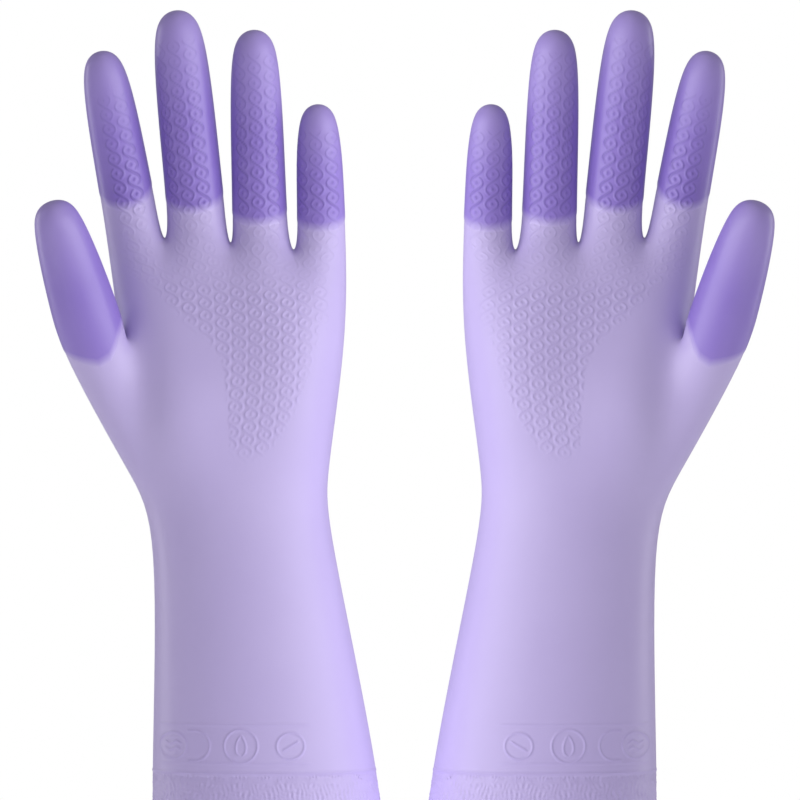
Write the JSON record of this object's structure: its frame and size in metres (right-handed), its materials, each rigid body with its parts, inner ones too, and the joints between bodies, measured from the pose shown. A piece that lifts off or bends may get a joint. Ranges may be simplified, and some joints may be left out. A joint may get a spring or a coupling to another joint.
{
  "type": "rubber gloves",
  "caption": "Pair of reusable household rubber gloves with long flared cuffs, a raised grip pattern on the palm side and a second dip on the finger ends.",
  "frame": {"origin": "centre of the bottom of the pair's box, midway between the two hems, on the surface that they stand on", "axes": "+Z from the hems to the fingertips; palms face -Y; the left-hand glove is at -X with its thumb to -X, and the right-hand glove is its mirror image at +X"},
  "size_m": [0.2422, 0.0662, 0.3098],
  "materials": {
    "lavender_rubber": "soft satin, slightly translucent latex",
    "violet_rubber": "satin second dip, a little glossier than the skin"
  },
  "bodies": {
    "left_cuff": {"left_cuff": "lavender_rubber", "left_wrist_fold": "lavender_rubber"},
    "left_palm": {"left_palm": "lavender_rubber", "left_thumb_fold": "lavender_rubber", "left_thumb_dip_skirt": "violet_rubber", "left_index_fold": "lavender_rubber", "left_index_dip_skirt": "violet_rubber", "left_middle_fold": "lavender_rubber", "left_middle_dip_skirt": "violet_rubber", "left_ring_fold": "lavender_rubber", "left_ring_dip_skirt": "violet_rubber", "left_little_fold": "lavender_rubber", "left_little_dip_skirt": "violet_rubber"},
    "left_thumb": {"left_thumb_sleeve": "lavender_rubber", "left_thumb_dip": "violet_rubber"},
    "left_index": {"left_index_sleeve": "lavender_rubber", "left_index_dip": "violet_rubber"},
    "left_middle": {"left_middle_sleeve": "lavender_rubber", "left_middle_dip": "violet_rubber"},
    "left_ring": {"left_ring_sleeve": "lavender_rubber", "left_ring_dip": "violet_rubber"},
    "left_little": {"left_little_sleeve": "lavender_rubber", "left_little_dip": "violet_rubber"},
    "right_cuff": {"right_cuff": "lavender_rubber", "right_wrist_fold": "lavender_rubber"},
    "right_palm": {"right_palm": "lavender_rubber", "right_thumb_fold": "lavender_rubber", "right_thumb_dip_skirt": "violet_rubber", "right_index_fold": "lavender_rubber", "right_index_dip_skirt": "violet_rubber", "right_middle_fold": "lavender_rubber", "right_middle_dip_skirt": "violet_rubber", "right_ring_fold": "lavender_rubber", "right_ring_dip_skirt": "violet_rubber", "right_little_fold": "lavender_rubber", "right_little_dip_skirt": "violet_rubber"},
    "right_thumb": {"right_thumb_sleeve": "lavender_rubber", "right_thumb_dip": "violet_rubber"},
    "right_index": {"right_index_sleeve": "lavender_rubber", "right_index_dip": "violet_rubber"},
    "right_middle": {"right_middle_sleeve": "lavender_rubber", "right_middle_dip": "violet_rubber"},
    "right_ring": {"right_ring_sleeve": "lavender_rubber", "right_ring_dip": "violet_rubber"},
    "right_little": {"right_little_sleeve": "lavender_rubber", "right_little_dip": "violet_rubber"}
  },
  "joints": [
    {"name": "left_wrist_bend", "type": "hinge", "parent": "left_cuff", "child": "left_palm", "pos_m": [-0.0536, 0, 0.144], "axis": [1, 0, 0], "range_deg": [-45, 45], "stiffness_Nm_per_rad": 0.15, "deforming": ["left_wrist_fold"]},
    {"name": "left_thumb_bend", "type": "hinge", "parent": "left_palm", "child": "left_thumb", "pos_m": [-0.10359, -0.01576, 0.20639], "axis": [0.6352, 0.6908, 0.3453], "range_deg": [-15, 45], "stiffness_Nm_per_rad": 0.02, "deforming": ["left_thumb_fold", "left_thumb_dip_skirt"]},
    {"name": "left_index_bend", "type": "hinge", "parent": "left_palm", "child": "left_index", "pos_m": [-0.09222, -0.00099, 0.25223], "axis": [0.9843, 0, 0.1766], "range_deg": [-12, 70], "stiffness_Nm_per_rad": 0.02, "deforming": ["left_index_fold", "left_index_dip_skirt"]},
    {"name": "left_middle_bend", "type": "hinge", "parent": "left_palm", "child": "left_middle", "pos_m": [-0.06949, -0.00077, 0.25096], "axis": [0.9954, 0, 0.0963], "range_deg": [-12, 70], "stiffness_Nm_per_rad": 0.02, "deforming": ["left_middle_fold", "left_middle_dip_skirt"]},
    {"name": "left_ring_bend", "type": "hinge", "parent": "left_palm", "child": "left_ring", "pos_m": [-0.04791, -0.00063, 0.24653], "axis": [0.9996, 0, 0.0294], "range_deg": [-12, 70], "stiffness_Nm_per_rad": 0.02, "deforming": ["left_ring_fold", "left_ring_dip_skirt"]},
    {"name": "left_little_bend", "type": "hinge", "parent": "left_palm", "child": "left_little", "pos_m": [-0.02759, -0.00072, 0.24451], "axis": [0.9995, 0, 0.0303], "range_deg": [-12, 70], "stiffness_Nm_per_rad": 0.02, "deforming": ["left_little_fold", "left_little_dip_skirt"]},
    {"name": "right_glove_slide", "type": "slide", "parent": "left_cuff", "child": "right_cuff", "axis": [1, 0, 0], "range_m": [0, 0.12]},
    {"name": "right_wrist_bend", "type": "hinge", "parent": "right_cuff", "child": "right_palm", "pos_m": [0.0536, 0, 0.144], "axis": [1, 0, 0], "range_deg": [-45, 45], "stiffness_Nm_per_rad": 0.15, "deforming": ["right_wrist_fold"]},
    {"name": "right_thumb_bend", "type": "hinge", "parent": "right_palm", "child": "right_thumb", "pos_m": [0.10359, -0.01576, 0.20639], "axis": [0.6352, -0.6908, -0.3453], "range_deg": [-15, 45], "stiffness_Nm_per_rad": 0.02, "deforming": ["right_thumb_fold", "right_thumb_dip_skirt"]},
    {"name": "right_index_bend", "type": "hinge", "parent": "right_palm", "child": "right_index", "pos_m": [0.09222, -0.00099, 0.25223], "axis": [0.9843, 0, -0.1766], "range_deg": [-12, 70], "stiffness_Nm_per_rad": 0.02, "deforming": ["right_index_fold", "right_index_dip_skirt"]},
    {"name": "right_middle_bend", "type": "hinge", "parent": "right_palm", "child": "right_middle", "pos_m": [0.06949, -0.00077, 0.25096], "axis": [0.9954, 0, -0.0963], "range_deg": [-12, 70], "stiffness_Nm_per_rad": 0.02, "deforming": ["right_middle_fold", "right_middle_dip_skirt"]},
    {"name": "right_ring_bend", "type": "hinge", "parent": "right_palm", "child": "right_ring", "pos_m": [0.04791, -0.00063, 0.24653], "axis": [0.9996, 0, -0.0294], "range_deg": [-12, 70], "stiffness_Nm_per_rad": 0.02, "deforming": ["right_ring_fold", "right_ring_dip_skirt"]},
    {"name": "right_little_bend", "type": "hinge", "parent": "right_palm", "child": "right_little", "pos_m": [0.02759, -0.00072, 0.24451], "axis": [0.9995, 0, -0.0303], "range_deg": [-12, 70], "stiffness_Nm_per_rad": 0.02, "deforming": ["right_little_fold", "right_little_dip_skirt"]}
  ]
}
